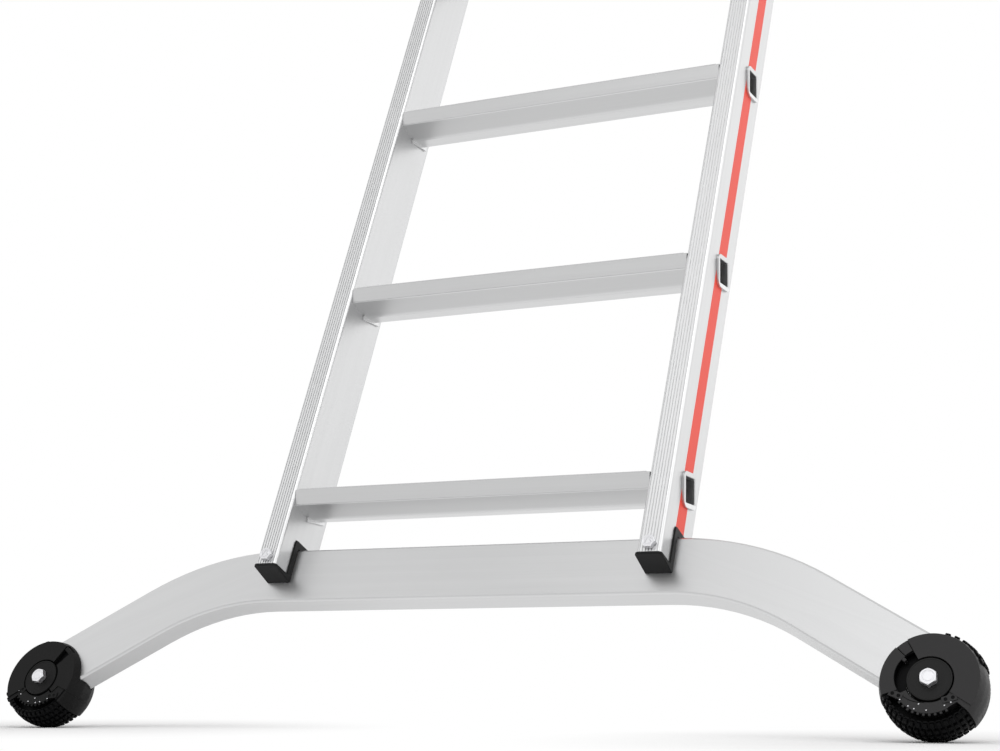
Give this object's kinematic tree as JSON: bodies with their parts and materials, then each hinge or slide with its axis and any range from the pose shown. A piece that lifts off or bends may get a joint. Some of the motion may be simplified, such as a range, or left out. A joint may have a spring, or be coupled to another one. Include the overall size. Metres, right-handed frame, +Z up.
{
  "type": "leaning ladder",
  "caption": "Leaning ladder with box stiles, deep step rungs and a bent stabiliser bar on turning ball feet.",
  "frame": {"origin": "middle of the bounding box at floor level", "axes": "+Z up, +X to the ladder's right seen from its front, +Y from the climber's side to the wall"},
  "size_m": [1.1184, 1.417, 2.9622],
  "materials": {
    "aluminium": "extruded, satin",
    "red_film": "satin film",
    "black_plastic": "moulded",
    "rubber": "moulded",
    "zinc_steel": "zinc plated"
  },
  "bodies": {
    "frame": {"bar_bolts": "zinc_steel", "bar_nuts": "zinc_steel", "foot_bolts": "zinc_steel", "foot_hubs": "black_plastic", "foot_nuts": "zinc_steel", "rung_01": "aluminium", "rung_02": "aluminium", "rung_03": "aluminium", "rung_04": "aluminium", "rung_05": "aluminium", "rung_06": "aluminium", "rung_07": "aluminium", "rung_08": "aluminium", "rung_09": "aluminium", "rung_10": "aluminium", "rung_11": "aluminium", "stabiliser_bar": "aluminium", "stile_end_shoe_left": "black_plastic", "stile_end_shoe_right": "black_plastic", "stile_left": "aluminium", "stile_right": "aluminium", "stile_top_cap_left": "black_plastic", "stile_top_cap_right": "black_plastic", "stripe_left": "red_film", "stripe_right": "red_film"},
    "foot_left": {"foot_shell_left": "black_plastic", "foot_lower_tread_left": "rubber", "foot_outer_tread_left": "rubber"},
    "foot_right": {"foot_shell_right": "black_plastic", "foot_lower_tread_right": "rubber", "foot_outer_tread_right": "rubber"}
  },
  "joints": [
    {"name": "foot_left_turn", "type": "hinge", "parent": "frame", "child": "foot_left", "pos_m": [-0.50967, -0.67166, 0.04809], "axis": [0, 0.9063, -0.4226], "range_deg": [0, 12]},
    {"name": "foot_right_turn", "type": "hinge", "parent": "frame", "child": "foot_right", "pos_m": [0.50967, -0.67166, 0.04809], "axis": [0, -0.9063, 0.4226], "range_deg": [0, 12]}
  ]
}
